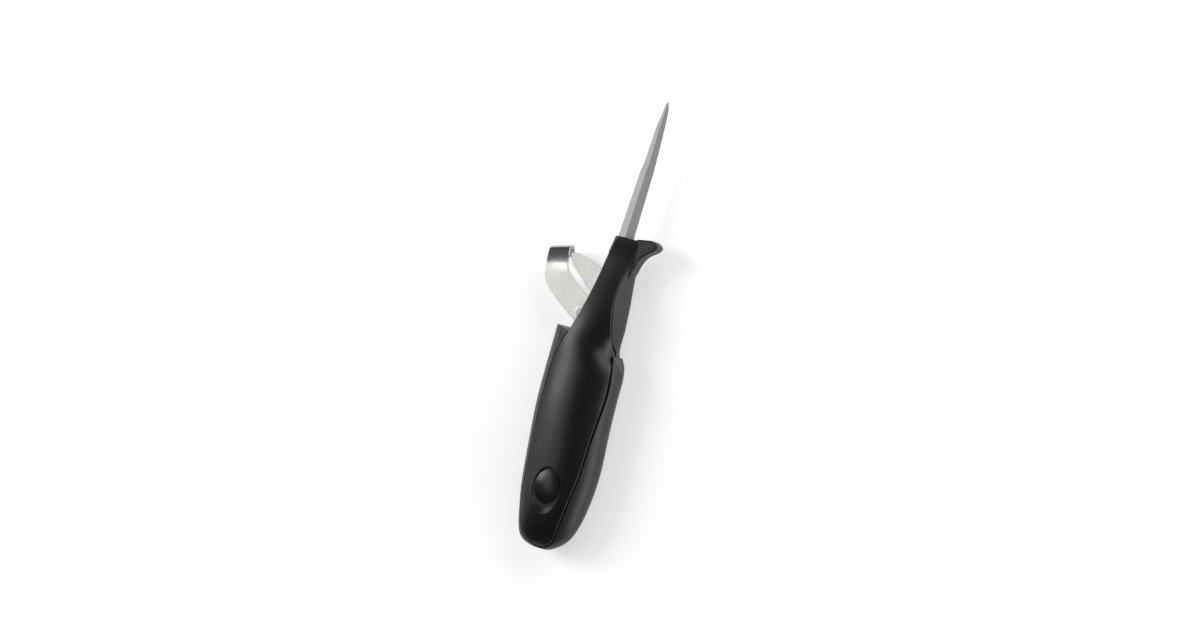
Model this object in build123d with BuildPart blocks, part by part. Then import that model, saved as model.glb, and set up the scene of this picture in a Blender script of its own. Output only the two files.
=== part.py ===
"""An oyster knife with a finger guard, a steel blade and a pair of riveted jaws on its left side.

The knife lies on its back face. +Y runs from the butt to the blade's tip, +X to the guard side and
+Z up through the front face. The origin is on the flat of the back, in line with the blade's root.
All lengths are millimetres. Places along the handle are shares of its length, counted from the
mouth, where the blade leaves the neck, down to the butt. Places across it are shares of the grip's
width, and heights in the handle are shares of its thickness, counted from the middle.
"""

import math
import os

from build123d import *

# Overall sizes
blade_reach = 69.5
handle_length = 158.0
grip_width = 40.0
grip_thickness = 28.0
mouth_y = 95.0
rest_flat_depth = 0.5
overrun = 60.0
mouth_overrun = 2.0

# Walls, seams and small edges of the handle
cover_proud = 0.3
cover_wall = 2.0
cover_round = 0.5
soft_wall = 4.5
seam_gap = 0.6
neck_seam_gap = 0.15
cover_edge_depth = 1.5

# Sections down the handle: share along, centre across, half width, half thickness
grip_section_shares = (
    (0.532, -0.073, 0.501, 0.500),
    (0.620, -0.059, 0.499, 0.492),
    (0.709, -0.036, 0.494, 0.476),
    (0.777, -0.027, 0.480, 0.458),
    (0.835, -0.026, 0.454, 0.434),
    (0.885, -0.025, 0.417, 0.397),
    (0.925, -0.033, 0.377, 0.345),
    (0.955, -0.047, 0.330, 0.286),
    (0.975, -0.063, 0.270, 0.228),
    (0.990, -0.065, 0.185, 0.150),
    (0.998, -0.052, 0.082, 0.070),
)
band_section_shares = (
    (0.278, -0.138, 0.418, 0.430),
    (0.352, -0.128, 0.438, 0.471),
    (0.380, -0.090, 0.479, 0.482),
    (0.412, -0.075, 0.496, 0.490),
    (0.470, -0.073, 0.500, 0.497),
)
neck_crown_shares = (
    (-0.020, 0.000, 0.600, 0.107),
    (0.050, 0.000, 0.600, 0.175),
    (0.114, 0.000, 0.590, 0.246),
    (0.190, -0.035, 0.545, 0.336),
    (0.278, -0.092, 0.464, 0.430),
)
waist_crown_shares = (
    (0.352, -0.140, 0.426, 0.471),
    (0.380, -0.115, 0.454, 0.482),
    (0.412, -0.083, 0.488, 0.490),
    (0.470, -0.073, 0.500, 0.497),
)

# Outline of the covers: share across, share along
cover_left_shares = (
    (-0.075, 0.000),
    (-0.115, 0.050),
    (-0.135, 0.101),
    (-0.172, 0.180),
    (-0.222, 0.250),
    (-0.290, 0.315),
    (-0.385, 0.390),
    (-0.424, 0.525),
    (-0.415, 0.684),
    (-0.384, 0.817),
    (-0.305, 0.935),
    (-0.140, 0.982),
    (-0.020, 0.990),
)
cover_right_shares = (
    (-0.020, 0.990),
    (0.085, 0.980),
    (0.150, 0.960),
    (0.174, 0.937),
    (0.222, 0.876),
    (0.262, 0.815),
    (0.296, 0.755),
    (0.313, 0.675),
    (0.331, 0.580),
    (0.349, 0.500),
    (0.347, 0.455),
    (0.335, 0.420),
    (0.308, 0.382),
    (0.270, 0.354),
    (0.237, 0.325),
    (0.212, 0.290),
    (0.170, 0.235),
    (0.144, 0.185),
    (0.150, 0.135),
    (0.182, 0.090),
    (0.215, 0.058),
    (0.228, 0.030),
    (0.180, 0.000),
)
cover_spine_shares = (0.010, 0.870)

# Neck sections: share along, left middle, left top, right top and right middle, then both tops' heights
neck_section_shares = (
    (0.000, -0.120, -0.085, 0.165, 0.185, 0.090, 0.105),
    (0.051, -0.160, -0.120, 0.225, 0.235, 0.140, 0.150),
    (0.101, -0.190, -0.140, 0.168, 0.238, 0.185, 0.205),
    (0.171, -0.235, -0.172, 0.140, 0.262, 0.265, 0.290),
    (0.211, -0.265, -0.195, 0.152, 0.277, 0.310, 0.330),
    (0.287, -0.315, -0.255, 0.208, 0.292, 0.400, 0.325),
    (0.330, -0.322, -0.290, 0.238, 0.284, 0.420, 0.225),
    (0.400, -0.330, -0.320, 0.268, 0.278, 0.445, 0.110),
)
neck_crest_share = 0.040
neck_flat_share = 0.054

# Upper end of the soft grip on the plan, with its pointed corner on the guard side
soft_end_shares = ((-0.620, 0.420), (-0.575, 0.308), (0.262, 0.350), (0.620, 0.480))
soft_shoulder_radius = 2.5

# Finger guard on the plan, from beside the blade round the tip to the neck
guard_shares = (
    (0.165, -0.001),
    (0.290, -0.008),
    (0.430, -0.0075),
    (0.476, 0.005),
    (0.435, 0.021),
    (0.350, 0.037),
    (0.288, 0.058),
    (0.246, 0.090),
    (0.208, 0.126),
    (0.186, 0.148),
)
guard_root_share = 0.165
guard_inset = 1.5
guard_half_share = 0.150
guard_round = 1.0
rib_centre_shares = (0.200, 0.010)
rib_radius_shares = (0.185, 0.215, 0.245)
rib_window_shares = (0.430, 0.008)
rib_window_size_share = 0.20
rib_width = 0.45
rib_depth = 0.25

# Blade: share of its reach, then its left edge, right edge and half thickness as shares of its root width
blade_root = 8.3
blade_lean = 2.4
blade_section_shares = (
    (0.000, -0.500, 0.500, 0.190),
    (0.480, -0.373, 0.461, 0.170),
    (0.540, -0.290, 0.445, 0.165),
    (0.790, -0.240, 0.325, 0.140),
    (0.950, -0.090, 0.205, 0.100),
    (1.000, -0.030, 0.050, 0.060),
)
blade_edge_share = 0.030

# Tang and its pins
tang_width = 5.4
tang_thickness = 2.6
tang_length_share = 0.42
pin_diameter = 3.0
pin_along_shares = (0.20, 0.36)
pin_half_share = 0.25

# Jaws, stacked on the rivet from the back: fixed jaw, washer, hook jaw
plate_gauge = 1.3
washer_gauge = 0.85
axial_play = 0.05
running_fit = 0.05
heel_radius = 5.4
shank_diameter = 5.0
head_diameter = 8.8
head_height = 1.0
head_round = 0.35
dimple_diameter = 5.0
dimple_depth = 0.4

# Slot in the neck's left flank, and the pivot that stands in it
slot_wall_share = -0.138
pivot_along_share = 0.2614
slot_clearance = 0.4
slot_above_pivot = 32.6
slot_below_heel = 1.5

# Jaws on the plan, as shares of their reach from the pivot to the hook's rolled end
jaw_reach = 33.4
fixed_free_shares = (
    (-0.458, 0.816),
    (-0.386, 0.669),
    (-0.248, 0.555),
    (-0.098, 0.423),
    (0.034, 0.291),
    (0.052, 0.172),
)
fixed_top_shares = (
    (-0.458, 0.816),
    (-0.392, 0.839),
    (-0.284, 0.835),
    (-0.140, 0.801),
    (-0.014, 0.759),
    (0.147, 0.688),
)
fixed_root_share = 0.125
fixed_bevel_width = 1.2
fixed_bevel_depth = 0.7
anchor_diameter = 1.6
anchor_depth = 2.0
anchor_inset = 1.4
anchor_along_share = 0.338
hook_outer_shares = (
    (-0.805, 1.000),
    (-0.805, 0.764),
    (-0.775, 0.598),
    (-0.749, 0.451),
    (-0.673, 0.300),
    (-0.559, 0.191),
    (-0.412, 0.078),
    (-0.290, -0.003),
    (-0.128, -0.105),
)
hook_inner_shares = (
    (-0.487, 1.000),
    (-0.487, 0.849),
    (-0.458, 0.740),
    (-0.440, 0.659),
    (-0.392, 0.570),
    (-0.260, 0.451),
    (-0.113, 0.347),
    (0.046, 0.253),
    (0.147, 0.054),
)
hook_turn = 15.0
hook_flat_length = 20.3
hook_bend_radius = 30.0
hook_bend_angle = 24.0
roll_radius = 3.3
roll_angle = 140.0
lip_length = 2.6

# Oval inlays in the covers, each in a recess with a tail towards the butt
oval_shares = (-0.048, 0.804)
oval_width = 12.6
oval_length = 17.0
oval_dome_radius = 28.0
recess_depth = 1.6
recess_floor_margin = 1.1
recess_floor_tail = 1.0
recess_mouth_margin = 1.6
recess_mouth_tail = 5.0

mid_z = grip_thickness / 2 + cover_proud - rest_flat_depth
middle = Plane.XY.offset(mid_z)


def along(share):
    """The y of a place that lies a share of the handle's length below the mouth."""
    return mouth_y - share * handle_length


def across(share):
    """The x of a place given as a share of the grip's width."""
    return share * grip_width


def plan_points(shares):
    """Points on the plan, from pairs of share across and share along."""
    return [(across(x), along(y)) for x, y in shares]


def section_plane(share):
    """The upright plane across the knife at a share along the handle, with +X to the right."""
    return Plane(origin=(0, along(share), mid_z), x_dir=(1, 0, 0), z_dir=(0, -1, 0))


def crown_height(share):
    """How far the crown stands above the middle at a share along the grip, under the covers' rise."""
    sections = (*waist_crown_shares, *grip_section_shares)
    for (start, *_, first), (end, *_, last) in zip(sections, sections[1:]):
        if start <= share <= end:
            return grip_thickness * (first + (last - first) * (share - start) / (end - start))
    raise ValueError("this share lies off the grip")


def oval_sections(sections, width_growth, thickness_growth):
    """One ellipse across the knife for each section, grown to the sides and up and down."""
    ovals = []
    for share, centre, half_width, half_thickness in sections:
        half_x = half_width * grip_width + width_growth
        half_z = half_thickness * grip_thickness + thickness_growth
        with BuildSketch(section_plane(share)) as oval:
            with Locations((across(centre), 0)):
                Ellipse(half_x, half_z)
        ovals.append(oval.sketch)
    return ovals


least_half = soft_wall + cover_wall
deep_grip_shares = [section for section in grip_section_shares if section[-1] * grip_thickness > least_half]
band_shares = (*band_section_shares, *grip_section_shares)
crown_shares = (*neck_crown_shares, *waist_crown_shares, *grip_section_shares)
inner_crown_shares = (*neck_crown_shares, *waist_crown_shares, *deep_grip_shares)
inner_grip_shares = (*waist_crown_shares, *deep_grip_shares)
cover_growth = cover_proud - cover_wall

with BuildPart() as grip_envelope:
    loft(oval_sections(band_shares, 0, 0))

with BuildPart() as crown:
    loft(oval_sections(crown_shares, cover_proud, cover_proud))

with BuildPart() as inner_crown:
    loft(oval_sections(inner_crown_shares, cover_growth, cover_growth))


def grown_points(shares, neck_growth, grip_growth):
    """Plan points of the covers' outline, moved outward from a spine between the mouth and the butt."""
    spine_x = across(cover_spine_shares[0])
    spine_end = along(cover_spine_shares[1])
    band_start = along(soft_end_shares[2][1])
    for x, y in plan_points(shares):
        dx = x - spine_x
        dy = min(y - spine_end, 0)
        growth = neck_growth if y > band_start else grip_growth
        reach = math.hypot(dx, dy)
        yield x + growth * dx / reach, y + growth * dy / reach


def cover_prism(neck_growth, grip_growth):
    """A solid with upright sides over the covers' outline, from their lower edge up and past the mouth."""
    with BuildPart() as prism:
        with BuildSketch(middle.offset(cover_edge_depth)):
            with BuildLine():
                left = Spline(*grown_points(cover_left_shares, neck_growth, grip_growth))
                right = Spline(*grown_points(cover_right_shares, neck_growth, grip_growth))
                past_mouth = (0, mouth_overrun)
                Polyline(right @ 1, (right @ 1) + past_mouth, (left @ 0) + past_mouth, left @ 0)
            make_face()
        extrude(amount=overrun)
    return prism.part


# The room that the front cover takes in what lies under it, down to its inner face
with BuildPart() as front_room:
    add(cover_prism(neck_seam_gap, seam_gap))
    add(inner_crown.part, mode=Mode.SUBTRACT)

with BuildPart() as back_room:
    add(front_room.part)
    mirror(about=middle, mode=Mode.REPLACE)

# Neck, finger guard and inner handle, which make up the core
with BuildPart() as neck:
    flanks = []
    crest_x = across(neck_crest_share)
    flat = neck_flat_share * grip_thickness
    for share, *sides, left_height, right_height in neck_section_shares:
        left_middle, left_top, right_top, right_middle = sides
        corners = (
            (across(left_middle), flat),
            (across(left_top), left_height * grip_thickness),
            (crest_x, max(left_height, right_height) * grip_thickness),
            (across(right_top), right_height * grip_thickness),
            (across(right_middle), flat),
        )
        with BuildSketch(section_plane(share)) as flank:
            with BuildLine():
                upper = Polyline(*corners)
                lower = Polyline(*((x, -height) for x, height in corners))
                Line(upper @ 0, lower @ 0)
                Line(upper @ 1, lower @ 1)
            make_face()
        flanks.append(flank.sketch)
    loft(flanks, ruled=True)

guard_half = guard_half_share * grip_thickness
guard_start = (blade_root / 2 + seam_gap, mouth_y - guard_inset)

with BuildPart() as guard:
    with BuildSketch(middle):
        with BuildLine():
            rim = Spline(guard_start, *plan_points(guard_shares))
            root_y = along(guard_root_share)
            Polyline(rim @ 1, ((rim @ 1).X, root_y), (guard_start[0], root_y), guard_start)
        make_face()
    extrude(amount=guard_half, both=True)
    fillet(guard.edges().filter_by(Plane.XY), guard_round)
    for side in (1, -1):
        with BuildSketch(Plane.XY.offset(mid_z + side * guard_half)):
            with Locations(plan_points([rib_centre_shares])):
                for radius_share in rib_radius_shares:
                    Circle(across(radius_share) + rib_width / 2)
                    Circle(across(radius_share) - rib_width / 2, mode=Mode.SUBTRACT)
            with Locations(plan_points([rib_window_shares])):
                Rectangle(across(rib_window_size_share), across(rib_window_size_share), mode=Mode.INTERSECT)
        extrude(amount=-side * rib_depth, mode=Mode.SUBTRACT)

with BuildPart() as inner_handle:
    loft(oval_sections(inner_grip_shares, -soft_wall, cover_growth / 2))

with BuildPart() as core_body:
    add(neck.part)
    add(guard.part)
    add(inner_handle.part)

# Heights of the jaws' stack, and the slot that holds it
stack_height = 2 * plate_gauge + washer_gauge + axial_play
fixed_z = mid_z - stack_height / 2
washer_z = fixed_z + plate_gauge
hook_z = washer_z + washer_gauge + axial_play
head_z = hook_z + plate_gauge + axial_play
slot_top_z = head_z + head_height + slot_clearance
slot_wall = across(slot_wall_share)
pivot_x = slot_wall - slot_clearance - heel_radius
pivot_y = along(pivot_along_share)
jaw_root_x = pivot_x + heel_radius
anchor_point = (jaw_root_x - anchor_inset, pivot_y + anchor_along_share * jaw_reach)


def jaw_points(shares):
    """Points on the plan, from pairs of shares of the jaws' reach, counted from the pivot."""
    return [(pivot_x + x * jaw_reach, pivot_y + y * jaw_reach) for x, y in shares]


def round_bar(point, radius, bottom, top):
    """An upright round solid about a point of the plan, between two heights."""
    with BuildPart() as bar:
        with BuildSketch(Plane.XY.offset(bottom)):
            with Locations(point):
                Circle(radius)
        extrude(amount=top - bottom)
    return bar.part


with BuildPart() as slot:
    with BuildSketch(Plane.XY.offset(fixed_z)):
        with BuildLine():
            slot_foot = pivot_y - heel_radius - slot_below_heel
            wall = Line((slot_wall, pivot_y + slot_above_pivot), (slot_wall, slot_foot))
            Polyline(wall @ 1, (wall @ 1) - (overrun, 0), (wall @ 0) - (overrun, 0), wall @ 0)
        make_face()
    extrude(amount=slot_top_z - fixed_z)
    head_pocket = head_diameter / 2 + slot_clearance
    add(round_bar((pivot_x, pivot_y), head_pocket, fixed_z - head_height - slot_clearance, fixed_z))


def blade_point(reach):
    """A point of the plan on the blade's line, at a distance from its root."""
    lean = math.radians(blade_lean)
    return reach * math.sin(lean), mouth_y + reach * math.cos(lean)


def blade_plane(reach):
    """The plane square to the blade at a distance from its root."""
    lean = math.radians(blade_lean)
    return Plane(
        origin=(*blade_point(reach), mid_z),
        x_dir=(math.cos(lean), -math.sin(lean), 0),
        z_dir=(math.sin(lean), math.cos(lean), 0),
    )


with BuildPart() as tang:
    with BuildSketch(blade_plane(0)):
        Rectangle(tang_width, tang_thickness)
    extrude(amount=-tang_length_share * handle_length)

with BuildPart() as tang_pins:
    with BuildSketch(middle):
        for share in pin_along_shares:
            with Locations(blade_point(-share * handle_length)):
                Circle(pin_diameter / 2)
    extrude(amount=pin_half_share * grip_thickness, both=True)

with BuildPart() as blade:
    grinds = []
    for share, left, right, ridge in blade_section_shares:
        left_x = left * blade_root
        right_x = right * blade_root
        ridge_x = (left_x + right_x) / 2
        ridge_z = ridge * blade_root
        edge_z = blade_edge_share * blade_root
        with BuildSketch(blade_plane(share * blade_reach)) as grind:
            with BuildLine():
                front = Polyline((left_x, edge_z), (ridge_x, ridge_z), (right_x, edge_z))
                back = Polyline((left_x, -edge_z), (ridge_x, -ridge_z), (right_x, -edge_z))
                Line(front @ 0, back @ 0)
                Line(front @ 1, back @ 1)
            make_face()
        grinds.append(grind.sketch)
    loft(grinds, ruled=True)
    add(tang.part)
    add(tang_pins.part, mode=Mode.SUBTRACT)

with BuildPart() as anchor_pin:
    add(round_bar(anchor_point, anchor_diameter / 2, fixed_z - anchor_depth, washer_z))

with BuildPart() as handle_core:
    add(core_body.part)
    for held in (front_room, back_room, slot, blade, tang_pins, anchor_pin):
        add(held.part, mode=Mode.SUBTRACT)

with BuildPart() as soft_grip:
    with BuildSketch(Plane.XY):
        with BuildLine():
            end = FilletPolyline(*plan_points(soft_end_shares[:-1]), radius=soft_shoulder_radius)
            far = Polyline(end @ 1, plan_points(soft_end_shares)[-1])
            Polyline(far @ 1, (far @ 1) - (0, handle_length), (end @ 0) - (0, handle_length), end @ 0)
        make_face()
    extrude(amount=overrun)
    add(grip_envelope.part, mode=Mode.INTERSECT)
    for held in (core_body, front_room, back_room):
        add(held.part, mode=Mode.SUBTRACT)

# Covers with their oval recess, which follows the slope of the crown
oval_share = oval_shares[1]
oval_end_share = oval_length / handle_length / 2
oval_top = crown_height(oval_share) + cover_proud
oval_rise = crown_height(oval_share - oval_end_share) - crown_height(oval_share + oval_end_share)
oval_floor = Plane(
    origin=(across(oval_shares[0]), along(oval_share), mid_z + oval_top - recess_depth),
    x_dir=(1, 0, 0),
    z_dir=(0, -oval_rise, oval_length),
)


def recess_outline(plane, margin, tail):
    """An oval of the recess: the inlay's own, wider by a margin, and longer by a tail towards the butt."""
    with BuildSketch(plane) as outline:
        with Locations((0, -tail / 2)):
            Ellipse(oval_width / 2 + margin, (oval_length + tail) / 2 + margin)
    return outline.sketch


with BuildPart() as front_cover:
    add(cover_prism(0, 0))
    add(inner_crown.part, mode=Mode.SUBTRACT)
    add(crown.part, mode=Mode.INTERSECT)
    split(bisect_by=Plane.XZ.offset(-mouth_y), keep=Keep.TOP)
    fillet(front_cover.faces().sort_by(Axis.Z)[-1].outer_wire().edges(), cover_round)
    recess_floor = recess_outline(oval_floor, recess_floor_margin, recess_floor_tail)
    recess_plane = oval_floor.offset(recess_depth + cover_proud)
    recess_mouth = recess_outline(recess_plane, recess_mouth_margin, recess_mouth_tail)
    loft([recess_floor, recess_mouth], mode=Mode.SUBTRACT)

with BuildPart() as front_oval_inlay:
    with BuildSketch(oval_floor):
        Ellipse(oval_width / 2, oval_length / 2)
    extrude(amount=recess_depth)
    with Locations(oval_floor.offset(recess_depth - oval_dome_radius)):
        Sphere(oval_dome_radius, mode=Mode.INTERSECT)

# The back pair are mirrored, and cut flat where the knife rests
with BuildPart() as back_cover:
    add(front_cover.part)
    mirror(about=middle, mode=Mode.REPLACE)
    split(bisect_by=Plane.XY, keep=Keep.TOP)

with BuildPart() as back_oval_inlay:
    add(front_oval_inlay.part)
    mirror(about=middle, mode=Mode.REPLACE)
    split(bisect_by=Plane.XY, keep=Keep.TOP)

# The hook jaw: a plate bent back and rolled over at its end, then cut to its outline
turn = math.radians(hook_turn)
hook_side = Plane(
    origin=(pivot_x, pivot_y, hook_z + plate_gauge / 2),
    x_dir=(-math.sin(turn), math.cos(turn), 0),
    z_dir=(math.cos(turn), math.sin(turn), 0),
)

with BuildPart() as hook_jaw:
    with BuildSketch(hook_side):
        with BuildLine():
            flat_run = Line((-2 * heel_radius, 0), (hook_flat_length, 0))
            bend = JernArc(flat_run @ 1, flat_run % 1, hook_bend_radius, -hook_bend_angle)
            roll = JernArc(bend @ 1, bend % 1, roll_radius, -roll_angle)
            Line(roll @ 1, (roll @ 1) + (roll % 1) * lip_length)
        trace(line_width=plate_gauge)
    extrude(amount=overrun, both=True)
    with BuildSketch(Plane.XY):
        with BuildLine():
            outer = Spline(*jaw_points(hook_outer_shares))
            inner = Spline(*jaw_points(hook_inner_shares))
            Line(outer @ 0, inner @ 0)
            Polyline(outer @ 1, (pivot_x, pivot_y), inner @ 1)
        make_face()
        with Locations((pivot_x, pivot_y)):
            Circle(heel_radius)
            Circle(shank_diameter / 2 + running_fit, mode=Mode.SUBTRACT)
    extrude(amount=overrun, mode=Mode.INTERSECT)

with BuildPart() as fixed_jaw:
    with BuildSketch(Plane.XY.offset(fixed_z)):
        with BuildLine():
            free = Spline(*jaw_points(fixed_free_shares))
            top = Spline(*jaw_points(fixed_top_shares))
            root = (jaw_root_x, pivot_y + fixed_root_share * jaw_reach)
            Polyline(top @ 1, root, (pivot_x, pivot_y), free @ 1)
        make_face()
        with Locations((pivot_x, pivot_y)):
            Circle(heel_radius)
            Circle(shank_diameter / 2, mode=Mode.SUBTRACT)
        with Locations(anchor_point):
            Circle(anchor_diameter / 2, mode=Mode.SUBTRACT)
    extrude(amount=plate_gauge)
    front_face = fixed_jaw.faces().sort_by(Axis.Z)[-1]
    free_edge = front_face.outer_wire().edges().sort_by(Axis.X)[:2].sort_by(Axis.Y)[0]
    chamfer(free_edge, fixed_bevel_depth, fixed_bevel_width, reference=front_face)

with BuildPart() as pivot_washer:
    with BuildSketch(Plane.XY.offset(washer_z)):
        with Locations((pivot_x, pivot_y)):
            Circle(head_diameter / 2)
            Circle(shank_diameter / 2, mode=Mode.SUBTRACT)
    extrude(amount=washer_gauge)

with BuildPart() as jaw_rivet:
    rivet_point = (pivot_x, pivot_y)
    add(round_bar(rivet_point, head_diameter / 2, fixed_z - head_height, fixed_z))
    add(round_bar(rivet_point, shank_diameter / 2, fixed_z, head_z))
    add(round_bar(rivet_point, head_diameter / 2, head_z, head_z + head_height))
    fillet(jaw_rivet.edges().group_by(Axis.Z)[-1], head_round)
    fillet(jaw_rivet.edges().group_by(Axis.Z)[0], head_round)
    head_top = head_z + head_height
    dimple = round_bar(rivet_point, dimple_diameter / 2, head_top - dimple_depth, head_top)
    add(dimple, mode=Mode.SUBTRACT)

pieces = {
    "blade": blade,
    "handle_core": handle_core,
    "soft_grip": soft_grip,
    "front_cover": front_cover,
    "back_cover": back_cover,
    "front_oval_inlay": front_oval_inlay,
    "back_oval_inlay": back_oval_inlay,
    "tang_pins": tang_pins,
    "anchor_pin": anchor_pin,
    "hook_jaw": hook_jaw,
    "fixed_jaw": fixed_jaw,
    "pivot_washer": pivot_washer,
    "jaw_rivet": jaw_rivet,
}

os.makedirs("parts", exist_ok=True)
for name, piece in pieces.items():
    piece.part.label = name
    export_step(piece.part, f"parts/{name}.step")
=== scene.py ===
# %% [markdown]
# # An oyster knife in black plastic and bright steel
# The knife lies on its back with its blade pointing along +Y and its finger guard at +X.
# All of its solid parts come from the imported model, in metres, and stay where they are.
# This lesson gives each part the finish that it has on the real knife, and sets up a pale
# studio around it.

# %% Load the knife
import math

import bpy
from mathutils import Matrix, Vector

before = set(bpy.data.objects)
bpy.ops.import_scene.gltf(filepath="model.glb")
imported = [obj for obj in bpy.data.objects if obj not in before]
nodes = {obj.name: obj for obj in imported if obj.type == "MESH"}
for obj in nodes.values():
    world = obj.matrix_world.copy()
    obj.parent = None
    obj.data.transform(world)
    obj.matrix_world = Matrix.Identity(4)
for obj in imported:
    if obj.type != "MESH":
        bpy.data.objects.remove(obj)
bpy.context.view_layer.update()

MM = 0.001
print("parts:", ", ".join(sorted(nodes)))

# %% [markdown]
# ## Where things are
# Two places of the handle are enough to set up the picture: how far along the knife its mouth is,
# where the blade comes out, and how high the middle of its thickness is above the floor.

# %% Places on the handle
MOUTH_Y = 95.0 * MM
MIDDLE_Z = 13.8 * MM
print("mouth at y =", MOUTH_Y, "m, middle at z =", MIDDLE_Z, "m")

# %% [markdown]
# ## The camera
# The photograph looks at the front of the knife from straight above, but the knife is rolled a
# little about its own length, so that more of the guard side shows, and it leans to the right in
# the frame. Here the knife lies flat, so the camera takes over both turns: it swings round the
# knife's length by the roll, and tilts in its own plane by the lean. A long lens from 1.5 m away
# keeps the outline as flat as it is in the photograph.

# %% Set up the camera
ROLL = math.radians(22.0)
LEAN = math.radians(14.9)
DISTANCE = 1.5
FIELD_WIDTH = 0.588
SENSOR_WIDTH = 36
LEFT_OF_MOUTH = 2.6 * MM
BELOW_MOUTH = 39.7 * MM

side = Vector((math.cos(ROLL), 0, -math.sin(ROLL)))
length = Vector((0, 1, 0))
towards = Vector((math.sin(ROLL), 0, math.cos(ROLL)))
right = math.cos(LEAN) * side + math.sin(LEAN) * length
up = math.cos(LEAN) * length - math.sin(LEAN) * side
aim = Vector((0, MOUTH_Y, MIDDLE_Z)) - LEFT_OF_MOUTH * side - BELOW_MOUTH * length

camera = bpy.data.objects.new("studio_camera", bpy.data.cameras.new("studio_camera"))
bpy.context.collection.objects.link(camera)
camera.data.sensor_width = SENSOR_WIDTH
camera.data.lens = SENSOR_WIDTH * DISTANCE / FIELD_WIDTH
turn = Matrix((right, up, towards)).transposed().to_4x4()
camera.matrix_world = Matrix.Translation(aim + DISTANCE * towards) @ turn
bpy.context.scene.camera = camera
bpy.context.scene.view_settings.view_transform = "Standard"
print("lens:", round(camera.data.lens, 1), "mm")

# %% [markdown]
# ## The studio
# A product this glossy is lit by large soft lights: the shape of each light is what the plastic
# and the plates reflect. One soft box stands high on the left and draws the long highlight down
# the cover. A dim one overhead is what the flat plates mirror, and a low one at the left lifts
# the side of the band. A long one low on the right draws the rim, one beyond the tip reaches the
# rolled end of the hook and the blade, and a dim surround fills the shadows.

# %% Floor, surround and lamps
KNIFE_MIDDLE = Vector((0, 0.05, 0))
LAMP_DISTANCE = 1.3
# name, direction from the knife, depth, width, watts, tint
SOFT_BOXES = (
    ("key_box", (-0.72, 0.13, 0.69), 0.7, 0.55, 6.7, (1.0, 0.99, 0.975)),
    ("top_box", (-0.35, -0.08, 0.93), 0.3, 0.8, 0.9, (1.0, 0.995, 0.99)),
    ("left_box", (-0.93, 0.02, 0.36), 0.5, 1.0, 1.6, (1.0, 0.995, 0.99)),
    ("rim_box", (0.98, 0.00, 0.20), 0.5, 2.0, 10.0, (0.98, 0.99, 1.0)),
    ("tip_box", (0.45, 0.72, 0.52), 0.8, 1.3, 6.5, (1.0, 1.0, 1.0)),
)
SURROUND_TINT = (0.93, 0.96, 1.0, 1)
SURROUND_STRENGTH = 0.10
FLOOR_REACH = 3


def soft_box(name, direction, depth, width, watts, tint):
    """A rectangular lamp that shines at the knife, with its width level and its depth sloping."""
    lamp = bpy.data.objects.new(name, bpy.data.lights.new(name, "AREA"))
    bpy.context.collection.objects.link(lamp)
    lamp.data.shape = "RECTANGLE"
    lamp.data.size = width
    lamp.data.size_y = depth
    lamp.data.energy = watts
    lamp.data.color = tint
    lamp.location = KNIFE_MIDDLE + LAMP_DISTANCE * Vector(direction).normalized()
    lamp.rotation_euler = (KNIFE_MIDDLE - lamp.location).to_track_quat("-Z", "Y").to_euler()


for settings in SOFT_BOXES:
    soft_box(*settings)

world = bpy.data.worlds.new("surround")
bpy.context.scene.world = world
world.use_nodes = True
surround = world.node_tree.nodes["Background"]
surround.inputs["Color"].default_value = SURROUND_TINT
surround.inputs["Strength"].default_value = SURROUND_STRENGTH

floor_mesh = bpy.data.meshes.new("floor")
corners = [(x * FLOOR_REACH, y * FLOOR_REACH, 0) for x, y in ((-1, -1), (1, -1), (1, 1), (-1, 1))]
floor_mesh.from_pydata(corners, [], [(0, 1, 2, 3)])
floor = bpy.data.objects.new("floor", floor_mesh)
bpy.context.collection.objects.link(floor)

# %% [markdown]
# ## Helpers for materials
# Every finish below is a small network of nodes. A few helpers keep the networks readable: they
# add a node with its settings, a sum, the part's own coordinates, a blend of two colours or a bump.
# Two more start a group, which is a network with named inputs and outputs that several finishes
# share, and place it in a finish.

# %% Node helpers
def add_node(tree, kind, links=None, **settings):
    """A node with its settings, and with each named or numbered input set or linked."""
    node = tree.nodes.new(kind)
    for name, value in settings.items():
        setattr(node, name, value)
    for name, value in (links or {}).items():
        if isinstance(value, bpy.types.NodeSocket):
            tree.links.new(value, node.inputs[name])
        else:
            node.inputs[name].default_value = value
    return node


def start_group(name, inputs, outputs):
    """An empty group with named inputs, each with its usual value, and named outputs."""
    group = bpy.data.node_groups.new(name, "ShaderNodeTree")
    for label, kind, value in inputs:
        socket = group.interface.new_socket(label, in_out="INPUT", socket_type=kind)
        socket.default_value = value
    for label, kind in outputs:
        group.interface.new_socket(label, in_out="OUTPUT", socket_type=kind)
    given = group.nodes.new("NodeGroupInput").outputs
    result = group.nodes.new("NodeGroupOutput").inputs
    return group, given, result


def maths(tree, operation, *values):
    """A Math node's output, from numbers or sockets."""
    node = add_node(tree, "ShaderNodeMath", dict(enumerate(values)), operation=operation)
    return node.outputs[0]


def own_coordinates(tree):
    """The coordinates of the part that the material is on."""
    return add_node(tree, "ShaderNodeTexCoord").outputs["Object"]


def noise(tree, coords, scale, detail):
    """A noise from 0 to 1 at a scale."""
    node = add_node(tree, "ShaderNodeTexNoise", {"Vector": coords, "Scale": scale, "Detail": detail})
    return node.outputs["Fac"]


def blend(tree, share, first, second):
    """A colour that goes from the first to the second with a share."""
    links = {0: share}
    for place, colour in ((6, first), (7, second)):
        links[place] = colour if isinstance(colour, bpy.types.NodeSocket) else (*colour, 1)
    return add_node(tree, "ShaderNodeMix", links, data_type="RGBA").outputs[2]


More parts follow.
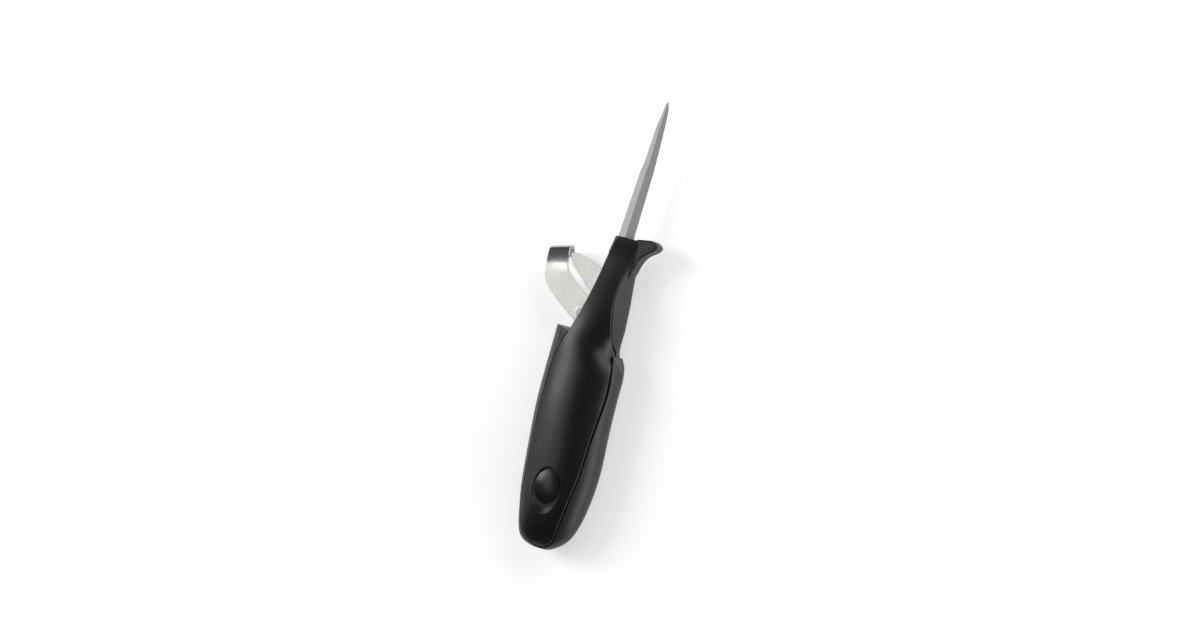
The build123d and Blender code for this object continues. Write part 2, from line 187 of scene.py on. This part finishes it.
def spread(tree, value, low, high):
    """A value from 0 to 1 spread out between two ends."""
    node = add_node(tree, "ShaderNodeMapRange", {"Value": value, "To Min": low, "To Max": high})
    return node.outputs["Result"]


def bumped(tree, height, strength, depth_mm, normal=None):
    """A normal bent by a height."""
    links = {"Height": height, "Strength": strength, "Distance": depth_mm * MM}
    if normal is not None:
        links["Normal"] = normal
    return add_node(tree, "ShaderNodeBump", links).outputs["Normal"]


def start_material(name):
    """A material with its node tree and its main shader."""
    material = bpy.data.materials.new(name)
    material.use_nodes = True
    return material, material.node_tree, material.node_tree.nodes["Principled BSDF"]


def use_group(tree, group, **values):
    """A shared group placed in a material with its own values."""
    node = tree.nodes.new("ShaderNodeGroup")
    node.node_tree = group
    for label, value in values.items():
        node.inputs[label.replace("_", " ")].default_value = value
    return node.outputs


print("helpers ready")

# %% [markdown]
# ## Moulded grain
# Plastic takes the texture of its steel mould: a fine, even pebble that scatters the highlight,
# with very faint slow waves where the plastic shrank as it cooled. The group gives a height for
# the bump and a slow mottle for the roughness.

# %% Build the moulded grain group
FLOAT = "NodeSocketFloat"
VECTOR = "NodeSocketVector"
MM_PER_METRE = 1000.0
WAVE_SCALE = 90.0

grain, given, result = start_group(
    "moulded_grain",
    [("Grain Size mm", FLOAT, 0.3), ("Wave Share", FLOAT, 0.3)],
    [("Height", FLOAT), ("Mottle", FLOAT)],
)
coords = own_coordinates(grain)
pebble_scale = maths(grain, "DIVIDE", MM_PER_METRE, given["Grain Size mm"])
pebble = noise(grain, coords, pebble_scale, 2.0)
waves = noise(grain, coords, WAVE_SCALE, 2.0)
wave_part = maths(grain, "MULTIPLY", waves, given["Wave Share"])
grain.links.new(maths(grain, "ADD", pebble, wave_part), result["Height"])
grain.links.new(waves, result["Mottle"])
print("group:", grain.name)

# %% [markdown]
# ## Eased edges, their wear and their painted highlight
# No moulded or stamped edge is knife sharp. The Bevel node bends the shading normal round each
# edge, so that edges catch the light, and comparing that normal with the plain one tells where
# the edges are. That edge mask stands for handling wear and also for a painted highlight along
# the edges, and noise breaks it up unevenly.

# %% Build the eased edge group
EDGE_TURN_START = 0.02
EDGE_TURN_FULL = 0.25
WEAR_SCALE = 350.0

eased, given, result = start_group(
    "eased_edges",
    [("Edge Radius", FLOAT, 0.0003), ("Patchiness", FLOAT, 0.5)],
    [("Normal", VECTOR), ("Wear_And_Highlight", FLOAT)],
)
rounded = add_node(eased, "ShaderNodeBevel", {"Radius": given["Edge Radius"]}, samples=6).outputs["Normal"]
plain = add_node(eased, "ShaderNodeNewGeometry").outputs["Normal"]
facing = add_node(eased, "ShaderNodeVectorMath", {0: rounded, 1: plain}, operation="DOT_PRODUCT")
turned = maths(eased, "SUBTRACT", 1.0, facing.outputs["Value"])
edge = add_node(
    eased, "ShaderNodeMapRange", {"Value": turned, "From Min": EDGE_TURN_START, "From Max": EDGE_TURN_FULL}
)
patches = noise(eased, own_coordinates(eased), WEAR_SCALE, 3.0)
kept = maths(eased, "MULTIPLY", patches, given["Patchiness"])
# The edge mask, for wear and for a painted highlight along the edges.
worn_and_lit = maths(eased, "SUBTRACT", edge.outputs["Result"], kept)
eased.links.new(maths(eased, "MAXIMUM", worn_and_lit, 0.0), result["Wear_And_Highlight"])
eased.links.new(rounded, result["Normal"])
print("group:", eased.name)

# %% [markdown]
# ## Dust and shade in the seams
# Fine dust and skin oil settle where two parts meet. Ambient Occlusion measured over a couple of
# millimetres finds such places, and noise keeps the dust from being even. On the steel the same
# speckled mask is painted shade that darkens the plates where they meet. Without the noise it is
# painted shade on the plastic, lowering its reflection in its hollows.

# %% Build the seam dust and shade group
OPEN_SKY = 0.75
CLOSED_SKY = 0.35
SPECK_SCALE = 900.0

seam, given, result = start_group(
    "seam_dust_and_shade",
    [("Reach", FLOAT, 0.002)],
    [("Dust_And_Shade", FLOAT), ("Shade", FLOAT)],
)
sky = add_node(seam, "ShaderNodeAmbientOcclusion", {"Distance": given["Reach"]}, samples=8).outputs["AO"]
closed = add_node(seam, "ShaderNodeMapRange", {"Value": sky, "From Min": OPEN_SKY, "From Max": CLOSED_SKY})
specks = noise(seam, own_coordinates(seam), SPECK_SCALE, 4.0)
seam.links.new(maths(seam, "MULTIPLY", closed.outputs["Result"], specks), result["Dust_And_Shade"])
seam.links.new(closed.outputs["Result"], result["Shade"])
print("group:", seam.name)

# %% [markdown]
# ## Brushing marks
# Grinding and brushing leave fine parallel lines in steel. Noise stretched a hundredfold in one
# direction draws them: the group turns the surface's coordinates so that the lines follow the
# blade or the plate, and gives a height and a streak value that varies from line to line.

# %% Build the brushed steel group
brushed, given, result = start_group(
    "brushing_marks",
    [
        ("Turn", VECTOR, (0, 0, 0)),
        ("Line Spacing mm", FLOAT, 0.12),
        ("Line Length mm", FLOAT, 12.0),
    ],
    [("Height", FLOAT), ("Streak", FLOAT)],
)
turned = add_node(
    brushed, "ShaderNodeVectorRotate", {"Vector": own_coordinates(brushed), "Rotation": given["Turn"]},
    rotation_type="EULER_XYZ",
)
line_scale = maths(brushed, "DIVIDE", MM_PER_METRE, given["Line Spacing mm"])
run_scale = maths(brushed, "DIVIDE", MM_PER_METRE, given["Line Length mm"])
stretch = add_node(brushed, "ShaderNodeCombineXYZ", {"X": line_scale, "Y": run_scale, "Z": line_scale})
drawn = add_node(
    brushed, "ShaderNodeVectorMath", {0: turned.outputs["Vector"], 1: stretch.outputs["Vector"]},
    operation="MULTIPLY",
)
lines = noise(brushed, drawn.outputs["Vector"], 1.0, 3.0)
brushed.links.new(lines, result["Height"])
brushed.links.new(lines, result["Streak"])
print("group:", brushed.name)

# %% [markdown]
# ## Finishes in plastic
# The covers, the core, the soft band and the oval inlays are all near black, and differ in how
# they take the light: the covers are satin, the core is a shade lighter and duller, the band is
# matt, and the ovals are the smoothest. One recipe with different values makes all four, which
# keeps them in one family.

# %% Build the plastic finishes
DUST_COLOUR = (0.05, 0.05, 0.048)
DUST_REACH = 0.0015
DUST_COVER = 0.10
DUST_DULLING = 0.3
# Painted shade in hollows: how far it looks and how much it lowers the reflection.
HOLLOW_SHADE_REACH = 0.008
HOLLOW_PAINTED_SHADE = 0.75
GRAIN_STRENGTH = 0.35


def plastic(name, colour, worn_and_lit_colour, roughness, rough_spread, grain_mm, grain_depth_mm, gloss, edge_mm):
    """A black plastic: grain in the bump, mottle in the roughness, edges lightened as wear and painted
    highlight, dust in seams, and painted shade that lowers its reflection in hollows.
    """
    material, tree, shader = start_material(name)
    marks = use_group(tree, grain, Grain_Size_mm=grain_mm, Wave_Share=0.3)
    edges = use_group(tree, eased, Edge_Radius=edge_mm * MM, Patchiness=0.7)
    dust = use_group(tree, seam, Reach=DUST_REACH)["Dust_And_Shade"]
    hollow_shade = use_group(tree, seam, Reach=HOLLOW_SHADE_REACH)["Shade"]
    # Edges lightened in colour, partly as wear and partly as a painted highlight.
    worn_and_lit = blend(tree, edges["Wear_And_Highlight"], colour, worn_and_lit_colour)
    dusty = blend(tree, maths(tree, "MULTIPLY", dust, DUST_COVER), worn_and_lit, DUST_COLOUR)
    tree.links.new(dusty, shader.inputs["Base Color"])
    rough = spread(tree, marks["Mottle"], roughness - rough_spread, roughness + rough_spread)
    dull = maths(tree, "ADD", rough, maths(tree, "MULTIPLY", dust, DUST_DULLING))
    tree.links.new(dull, shader.inputs["Roughness"])
    grained = bumped(tree, marks["Height"], GRAIN_STRENGTH, grain_depth_mm, edges["Normal"])
    tree.links.new(grained, shader.inputs["Normal"])
    # Painted shade: the plastic's reflection is lowered in the hollows that Ambient Occlusion finds.
    gloss_after_shade = maths(tree, "SUBTRACT", 1.0, maths(tree, "MULTIPLY", hollow_shade, HOLLOW_PAINTED_SHADE))
    tree.links.new(maths(tree, "MULTIPLY", gloss_after_shade, gloss), shader.inputs["Specular IOR Level"])
    return material


cover_finish = plastic(
    "satin_cover_plastic", (0.0030, 0.0030, 0.0032), (0.008, 0.008, 0.0083),
    roughness=0.34, rough_spread=0.03, grain_mm=0.30, grain_depth_mm=0.010, gloss=0.50, edge_mm=0.25,
)
core_finish = plastic(
    "core_plastic", (0.017, 0.019, 0.0205), (0.028, 0.030, 0.032),
    roughness=0.46, rough_spread=0.04, grain_mm=0.35, grain_depth_mm=0.012, gloss=0.45, edge_mm=0.35,
)
band_finish = plastic(
    "soft_band_elastomer", (0.013, 0.0135, 0.0142), (0.024, 0.0245, 0.025),
    roughness=0.42, rough_spread=0.05, grain_mm=0.22, grain_depth_mm=0.012, gloss=0.50, edge_mm=0.60,
)
inlay_finish = plastic(
    "oval_inlay_plastic", (0.006, 0.006, 0.0064), (0.012, 0.012, 0.0122),
    roughness=0.26, rough_spread=0.02, grain_mm=0.40, grain_depth_mm=0.004, gloss=0.50, edge_mm=0.15,
)
print("plastics:", cover_finish.name, core_finish.name, band_finish.name, inlay_finish.name)

# %% [markdown]
# ## Finishes in steel
# The blade is ground and left satin, with the lines along it. The jaws are bright plates, brushed
# along their length and polished at their rims, whose colour is lightened, partly as wear and
# partly as a painted highlight, and the press left them with slight dents that bend what they
# mirror. The rivet has short marks from its setting tool. Metal has no colour of its own besides
# its reflection, so the roughness does the work, and where two plates meet the colour is darkened
# as painted shade, broken up with specks.

# %% Build the steel finishes
# Painted shade where plates meet: its colour, reach, gain and greatest share.
SEAM_SHADE_COLOUR = (0.05, 0.048, 0.044)
SEAM_SHADE_REACH = 0.0016
SEAM_SHADE_GAIN = 1.3
SEAM_SHADE_MOST = 0.8
# Rims lightened partly as wear and partly as a painted highlight; the polish lowers roughness.
RIM_WEAR_AND_HIGHLIGHT_COLOUR = (0.60, 0.60, 0.595)
RIM_WEAR_AND_HIGHLIGHT_GAIN = 4.0
RIM_POLISH = 0.1
MARK_STRENGTH = 0.3
DENT_SCALE = 65.0
DENT_STRENGTH = 1.0


def steel(
    name, dull, bright, roughness, rough_spread, turn_deg, spacing_mm, run_mm, mark_mm, edge_mm, dent_mm
):
    """A steel: brushing marks in the bump, colour and roughness, polished rims lightened as wear and
    painted highlight, painted shade where plates meet, and slight dents.
    """
    material, tree, shader = start_material(name)
    shader.inputs["Metallic"].default_value = 1
    turn = (0, 0, math.radians(turn_deg))
    marks = use_group(tree, brushed, Turn=turn, Line_Spacing_mm=spacing_mm, Line_Length_mm=run_mm)
    edges = use_group(tree, eased, Edge_Radius=edge_mm * MM, Patchiness=0.3)
    seam_shade = use_group(tree, seam, Reach=SEAM_SHADE_REACH)["Dust_And_Shade"]
    streaked = blend(tree, marks["Streak"], dull, bright)
    # Rims lightened in colour, partly as wear and partly as a painted highlight.
    rim_wear_and_highlight = maths(tree, "MINIMUM", maths(tree, "MULTIPLY", edges["Wear_And_Highlight"], RIM_WEAR_AND_HIGHLIGHT_GAIN), 1.0)
    rim_worn_and_lit = blend(tree, rim_wear_and_highlight, streaked, RIM_WEAR_AND_HIGHLIGHT_COLOUR)
    # Painted shade: where plates meet the colour goes dark, broken up by specks.
    seam_shaded = maths(tree, "MINIMUM", maths(tree, "MULTIPLY", seam_shade, SEAM_SHADE_GAIN), SEAM_SHADE_MOST)
    tree.links.new(blend(tree, seam_shaded, rim_worn_and_lit, SEAM_SHADE_COLOUR), shader.inputs["Base Color"])
    rough = spread(tree, marks["Streak"], roughness + rough_spread, roughness - rough_spread)
    polished = maths(tree, "SUBTRACT", rough, maths(tree, "MULTIPLY", edges["Wear_And_Highlight"], RIM_POLISH))
    tree.links.new(polished, shader.inputs["Roughness"])
    marked = bumped(tree, marks["Height"], MARK_STRENGTH, mark_mm, edges["Normal"])
    dents = noise(tree, own_coordinates(tree), DENT_SCALE, 1.0)
    tree.links.new(bumped(tree, dents, DENT_STRENGTH, dent_mm, marked), shader.inputs["Normal"])
    return material


blade_finish = steel(
    "ground_blade_steel", (0.30, 0.305, 0.31), (0.42, 0.425, 0.43), roughness=0.54, rough_spread=0.06,
    turn_deg=2.4, spacing_mm=0.10, run_mm=14.0, mark_mm=0.0008, edge_mm=0.30, dent_mm=0.02,
)
jaw_finish = steel(
    "bright_jaw_steel", (0.44, 0.436, 0.425), (0.60, 0.595, 0.58), roughness=0.20, rough_spread=0.05,
    turn_deg=-15.0, spacing_mm=0.09, run_mm=10.0, mark_mm=0.0005, edge_mm=0.25, dent_mm=0.25,
)
rivet_finish = steel(
    "rivet_steel", (0.48, 0.475, 0.46), (0.60, 0.595, 0.58), roughness=0.28, rough_spread=0.05,
    turn_deg=0, spacing_mm=0.15, run_mm=2.0, mark_mm=0.0006, edge_mm=0.20, dent_mm=0.02,
)
print("steels:", blade_finish.name, jaw_finish.name, rivet_finish.name)

# %% [markdown]
# ## The blade's grinding lines
# Lines ground along the blade spread its reflections across it, so that its two facets look alike
# from most sides. The shader does this when it is told which way the spread goes.

# %% Spread the blade's reflections
BLADE_SPREAD = 0.85
tree = blade_finish.node_tree
shader = tree.nodes["Principled BSDF"]
shader.inputs["Anisotropic"].default_value = BLADE_SPREAD
across_blade = add_node(tree, "ShaderNodeCombineXYZ", {"X": 1.0})
tree.links.new(across_blade.outputs["Vector"], shader.inputs["Tangent"])
print("blade spread:", BLADE_SPREAD)

# %% [markdown]
# ## The washer
# A thin ring of natural nylon keeps the two plates apart. It is milky and a little see-through,
# so light goes a short way into it.

# %% Build the nylon finish
washer_finish, tree, shader = start_material("washer_nylon")
marks = use_group(tree, grain, Grain_Size_mm=0.2, Wave_Share=0.5)
milky = blend(tree, marks["Mottle"], (0.70, 0.68, 0.60), (0.80, 0.79, 0.72))
tree.links.new(milky, shader.inputs["Base Color"])
tree.links.new(bumped(tree, marks["Height"], 0.2, 0.01), shader.inputs["Normal"])
shader.inputs["Roughness"].default_value = 0.5
shader.inputs["Subsurface Weight"].default_value = 0.15
shader.inputs["Subsurface Radius"].default_value = (0.001, 0.0009, 0.0007)
print("nylon:", washer_finish.name)

# %% [markdown]
# ## The floor
# A plain white sheet that takes the knife's soft shadow. A little noise in its tone keeps it from
# looking like empty space. Seen directly, in a reflection or through something clear, it glows a
# little, so that it looks as white as a sheet in bright light without casting more light upwards.

# %% Build the floor's finish
FLOOR_GLOW = 0.44

floor_finish, tree, shader = start_material("pale_floor")
cloud = noise(tree, own_coordinates(tree), 6.0, 2.0)
sheet = blend(tree, cloud, (0.93, 0.93, 0.925), (0.95, 0.95, 0.95))
tree.links.new(sheet, shader.inputs["Base Color"])
shader.inputs["Roughness"].default_value = 0.8
shader.inputs["Specular IOR Level"].default_value = 0.2
shader.inputs["Emission Color"].default_value = (1, 1, 1, 1)
rays = add_node(tree, "ShaderNodeLightPath").outputs
seen = maths(tree, "MAXIMUM", rays["Is Camera Ray"], rays["Is Glossy Ray"])
seen = maths(tree, "MAXIMUM", seen, rays["Is Transmission Ray"])
tree.links.new(maths(tree, "MULTIPLY", seen, FLOOR_GLOW), shader.inputs["Emission Strength"])
floor_mesh.materials.append(floor_finish)
print("floor:", floor_finish.name)

# %% [markdown]
# ## Finishes on their parts
# Each solid part keeps its shape and gets its finish in place of the plain one it came with.

# %% Give the parts their finishes
finishes = {
    "blade": blade_finish,
    "handle_core": core_finish,
    "soft_grip": band_finish,
    "front_cover": cover_finish,
    "back_cover": cover_finish,
    "front_oval_inlay": inlay_finish,
    "back_oval_inlay": inlay_finish,
    "tang_pins": rivet_finish,
    "anchor_pin": rivet_finish,
    "hook_jaw": jaw_finish,
    "fixed_jaw": jaw_finish,
    "pivot_washer": washer_finish,
    "jaw_rivet": rivet_finish,
}
for name, finish in finishes.items():
    mesh = nodes[name].data
    mesh.materials.clear()
    mesh.materials.append(finish)
print("finished parts:", len(finishes))
